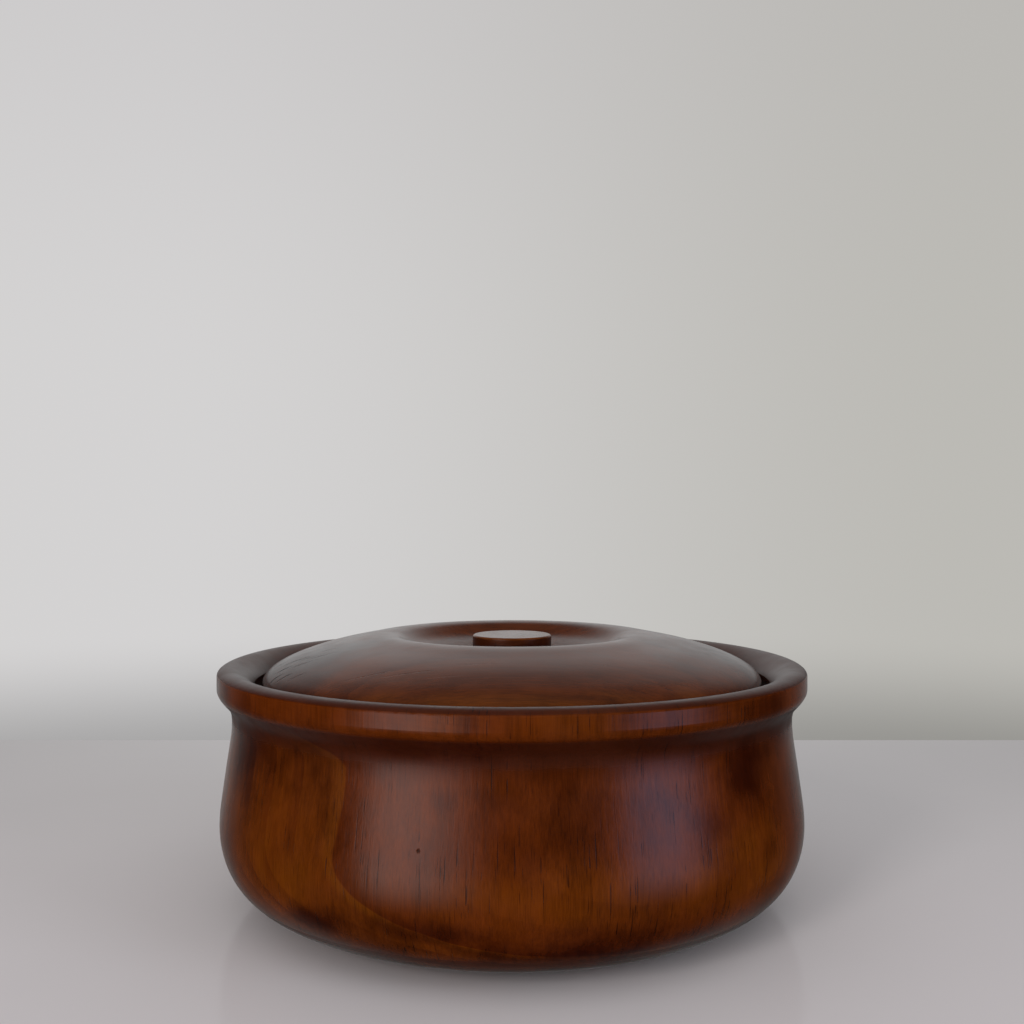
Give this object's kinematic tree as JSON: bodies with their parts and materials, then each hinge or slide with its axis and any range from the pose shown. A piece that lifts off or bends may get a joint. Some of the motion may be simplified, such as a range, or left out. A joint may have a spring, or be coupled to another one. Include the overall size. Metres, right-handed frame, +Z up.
{
  "type": "lidded wooden bowl",
  "caption": "Round lidded bowl turned from brown lacquered wood, with a thick rim band, a bellied body and a domed lid that lifts off by a low knob in a finger recess.",
  "frame": {"origin": "centre of the foot ring, on the surface that the bowl stands on", "axes": "+Z up along the turning axis; +X to the right along the lid's grain, -Y towards a viewer at the front"},
  "size_m": [0.24, 0.24, 0.1065],
  "materials": {
    "bowl_wood": "satin brown lacquer over upright grain",
    "lid_wood": "satin brown lacquer over flat grain",
    "knob_wood": "satin brown lacquer",
    "screw_brass": "plain brass"
  },
  "bodies": {
    "bowl": {"bowl": "bowl_wood"},
    "lid": {"lid": "lid_wood", "knob": "knob_wood", "knob_screw": "screw_brass"}
  },
  "joints": [
    {"name": "lid_lift", "type": "slide", "parent": "bowl", "child": "lid", "axis": [0, 0, 1], "range_m": [0, 0.1]}
  ]
}
